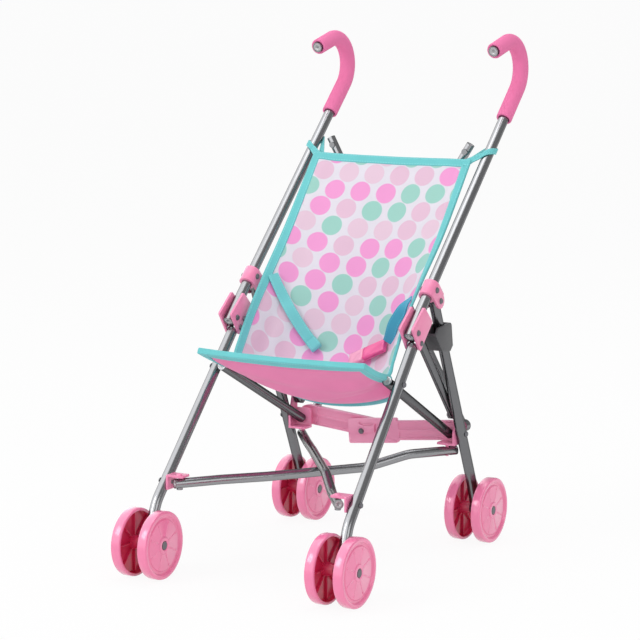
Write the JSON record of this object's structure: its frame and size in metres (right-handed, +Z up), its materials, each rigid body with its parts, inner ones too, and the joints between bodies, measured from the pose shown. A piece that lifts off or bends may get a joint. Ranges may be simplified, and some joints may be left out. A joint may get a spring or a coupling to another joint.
{
  "type": "doll stroller",
  "caption": "Folding umbrella-style doll stroller: steel tube side frames with hooked foam grips, crossing braces, a sling seat with harness, and twin plastic wheels on each leg.",
  "frame": {"origin": "on the floor, under the middle of the bounding box", "axes": "+Z up, the front towards -Y, +X to the right of a viewer who faces the front, so the middle plane is X = 0"},
  "size_m": [0.2666, 0.4495, 0.5394],
  "materials": {
    "tube_steel": "satin",
    "dark_steel": "satin",
    "wheel_plastic": "glossy",
    "pink_plastic": "semi-gloss",
    "dark_plastic": "matte",
    "foam": "matte foam",
    "dotted_cloth": "woven, printed with dots",
    "pink_cloth": "woven",
    "aqua_webbing": "woven tape"
  },
  "bodies": {
    "left_frame": {"left_push_tube": "tube_steel", "left_grip": "foam", "left_collar": "pink_plastic", "left_lower_bracket": "pink_plastic", "left_rear_leg": "tube_steel", "left_side_link": "tube_steel", "left_rear_bracket": "pink_plastic", "left_frame_rivets": "dark_steel", "left_rear_axle": "dark_steel", "left_corner_strap": "aqua_webbing", "seat_sling": "dotted_cloth", "front_panel": "pink_cloth", "harness_strap_left": "aqua_webbing", "harness_strap_right": "aqua_webbing", "buckle_socket": "pink_plastic", "buckle_tongue": "pink_plastic"},
    "right_frame": {"right_push_tube": "tube_steel", "right_grip": "foam", "right_collar": "pink_plastic", "right_lower_bracket": "pink_plastic", "right_rear_leg": "tube_steel", "right_side_link": "tube_steel", "right_rear_bracket": "pink_plastic", "right_frame_rivets": "dark_steel", "right_rear_axle": "dark_steel", "right_corner_strap": "aqua_webbing", "fold_catch": "dark_plastic"},
    "left_front_leg": {"left_front_leg": "tube_steel", "left_leg_rivets": "dark_steel", "left_front_axle": "dark_steel"},
    "left_front_bracket": {"left_front_bracket": "pink_plastic"},
    "left_seat_bar": {"left_seat_bar": "tube_steel"},
    "left_front_outer_wheel": {"left_front_outer_wheel": "wheel_plastic"},
    "left_front_inner_wheel": {"left_front_inner_wheel": "wheel_plastic"},
    "left_rear_outer_wheel": {"left_rear_outer_wheel": "wheel_plastic"},
    "left_rear_inner_wheel": {"left_rear_inner_wheel": "wheel_plastic"},
    "right_front_leg": {"right_front_leg": "tube_steel", "right_leg_rivets": "dark_steel", "right_front_axle": "dark_steel"},
    "right_front_bracket": {"right_front_bracket": "pink_plastic"},
    "right_seat_bar": {"right_seat_bar": "tube_steel"},
    "right_front_outer_wheel": {"right_front_outer_wheel": "wheel_plastic"},
    "right_front_inner_wheel": {"right_front_inner_wheel": "wheel_plastic"},
    "right_rear_outer_wheel": {"right_rear_outer_wheel": "wheel_plastic"},
    "right_rear_inner_wheel": {"right_rear_inner_wheel": "wheel_plastic"},
    "lower_brace_from_left": {"lower_brace_from_left": "tube_steel"},
    "lower_brace_from_right": {"lower_brace_from_right": "tube_steel"},
    "back_brace_from_left": {"back_brace_from_left": "tube_steel"},
    "back_brace_from_right": {"back_brace_from_right": "tube_steel"},
    "lock_bar_left": {"lock_bar_left": "pink_plastic"},
    "lock_bar_right": {"lock_bar_right": "pink_plastic", "latch_rivet": "dark_steel"},
    "lock_latch": {"lock_latch": "pink_plastic"}
  },
  "joints": [
    {"name": "fold", "type": "slide", "parent": "left_frame", "child": "right_frame", "axis": [-1, 0, 0], "range_m": [0, 0.12], "deforming": ["seat_sling", "front_panel", "harness_strap_left", "harness_strap_right", "buckle_socket", "buckle_tongue"]},
    {"name": "left_leg_swing", "type": "hinge", "parent": "left_frame", "child": "left_front_leg", "pos_m": [-0.107, -0.02644, 0.23519], "axis": [-1, 0, 0], "range_deg": [0, 24.9]},
    {"name": "left_bracket_turn", "type": "hinge", "parent": "left_front_leg", "child": "left_front_bracket", "pos_m": [-0.11069, -0.15462, 0.09333], "axis": [1, 0, 0], "range_deg": [0, 12.9]},
    {"name": "left_seat_bar_turn", "type": "hinge", "parent": "left_front_leg", "child": "left_seat_bar", "pos_m": [-0.10797, -0.06023, 0.1978], "axis": [1, 0, 0], "range_deg": [0, 21.9]},
    {"name": "left_front_outer_wheel_spin", "type": "hinge", "parent": "left_front_leg", "child": "left_front_outer_wheel", "pos_m": [-0.112, -0.1875, 0.035], "axis": [1, 0, 0], "continuous": true},
    {"name": "left_front_inner_wheel_spin", "type": "hinge", "parent": "left_front_leg", "child": "left_front_inner_wheel", "pos_m": [-0.112, -0.1875, 0.035], "axis": [1, 0, 0], "continuous": true},
    {"name": "left_rear_outer_wheel_spin", "type": "hinge", "parent": "left_frame", "child": "left_rear_outer_wheel", "pos_m": [-0.107, 0.119, 0.035], "axis": [1, 0, 0], "continuous": true},
    {"name": "left_rear_inner_wheel_spin", "type": "hinge", "parent": "left_frame", "child": "left_rear_inner_wheel", "pos_m": [-0.107, 0.119, 0.035], "axis": [1, 0, 0], "continuous": true},
    {"name": "right_leg_swing", "type": "hinge", "parent": "right_frame", "child": "right_front_leg", "pos_m": [0.107, -0.02644, 0.23519], "axis": [-1, 0, 0], "range_deg": [0, 24.9]},
    {"name": "right_bracket_turn", "type": "hinge", "parent": "right_front_leg", "child": "right_front_bracket", "pos_m": [0.11069, -0.15462, 0.09333], "axis": [1, 0, 0], "range_deg": [0, 12.9]},
    {"name": "right_seat_bar_turn", "type": "hinge", "parent": "right_front_leg", "child": "right_seat_bar", "pos_m": [0.10797, -0.06023, 0.1978], "axis": [1, 0, 0], "range_deg": [0, 21.9]},
    {"name": "right_front_outer_wheel_spin", "type": "hinge", "parent": "right_front_leg", "child": "right_front_outer_wheel", "pos_m": [0.112, -0.1875, 0.035], "axis": [1, 0, 0], "continuous": true},
    {"name": "right_front_inner_wheel_spin", "type": "hinge", "parent": "right_front_leg", "child": "right_front_inner_wheel", "pos_m": [0.112, -0.1875, 0.035], "axis": [1, 0, 0], "continuous": true},
    {"name": "right_rear_outer_wheel_spin", "type": "hinge", "parent": "right_frame", "child": "right_rear_outer_wheel", "pos_m": [0.107, 0.119, 0.035], "axis": [1, 0, 0], "continuous": true},
    {"name": "right_rear_inner_wheel_spin", "type": "hinge", "parent": "right_frame", "child": "right_rear_inner_wheel", "pos_m": [0.107, 0.119, 0.035], "axis": [1, 0, 0], "continuous": true},
    {"name": "lower_brace_left_turn", "type": "hinge", "parent": "left_frame", "child": "lower_brace_from_left", "pos_m": [-0.0885, 0.086, 0.102], "axis": [-0.3576, -0.2334, -0.9042], "range_deg": [0, 28.14]},
    {"name": "lower_brace_right_turn", "type": "hinge", "parent": "right_frame", "child": "lower_brace_from_right", "pos_m": [0.0885, 0.086, 0.102], "axis": [-0.3576, 0.2334, 0.9042], "range_deg": [0, 28.14]},
    {"name": "back_brace_left_turn", "type": "hinge", "parent": "left_frame", "child": "back_brace_from_left", "pos_m": [-0.09, 0.1113, 0.123], "axis": [-0.2511, -0.9404, 0.2293], "range_deg": [0, 21.69]},
    {"name": "back_brace_right_turn", "type": "hinge", "parent": "right_frame", "child": "back_brace_from_right", "pos_m": [0.09, 0.1218, 0.123], "axis": [-0.2511, 0.9404, -0.2293], "range_deg": [0, 21.69]},
    {"name": "lock_left_turn", "type": "hinge", "parent": "left_frame", "child": "lock_bar_left", "pos_m": [-0.09, 0.1016, 0.123], "axis": [0, -1, 0], "range_deg": [0, 70.5]},
    {"name": "lock_right_turn", "type": "hinge", "parent": "right_frame", "child": "lock_bar_right", "pos_m": [0.09, 0.0957, 0.123], "axis": [0, 1, 0], "range_deg": [0, 70.5]},
    {"name": "latch_lift", "type": "hinge", "parent": "lock_bar_right", "child": "lock_latch", "pos_m": [-0.018, 0.0915, 0.112], "axis": [0, -1, 0], "range_deg": [0, 15]}
  ],
  "couplings": [
    {"joint": "left_leg_swing", "follows": "fold", "rad_per_m": 3.6215},
    {"joint": "left_bracket_turn", "follows": "fold", "rad_per_m": 1.8762},
    {"joint": "left_seat_bar_turn", "follows": "fold", "rad_per_m": 3.1852},
    {"joint": "right_leg_swing", "follows": "fold", "rad_per_m": 3.6215},
    {"joint": "right_bracket_turn", "follows": "fold", "rad_per_m": 1.8762},
    {"joint": "right_seat_bar_turn", "follows": "fold", "rad_per_m": 3.1852},
    {"joint": "lower_brace_left_turn", "follows": "fold", "rad_per_m": 4.0924},
    {"joint": "lower_brace_right_turn", "follows": "fold", "rad_per_m": 4.0924},
    {"joint": "back_brace_left_turn", "follows": "fold", "rad_per_m": 3.1553},
    {"joint": "back_brace_right_turn", "follows": "fold", "rad_per_m": 3.1553},
    {"joint": "lock_left_turn", "follows": "fold", "rad_per_m": 10.254},
    {"joint": "lock_right_turn", "follows": "fold", "rad_per_m": 10.254}
  ]
}
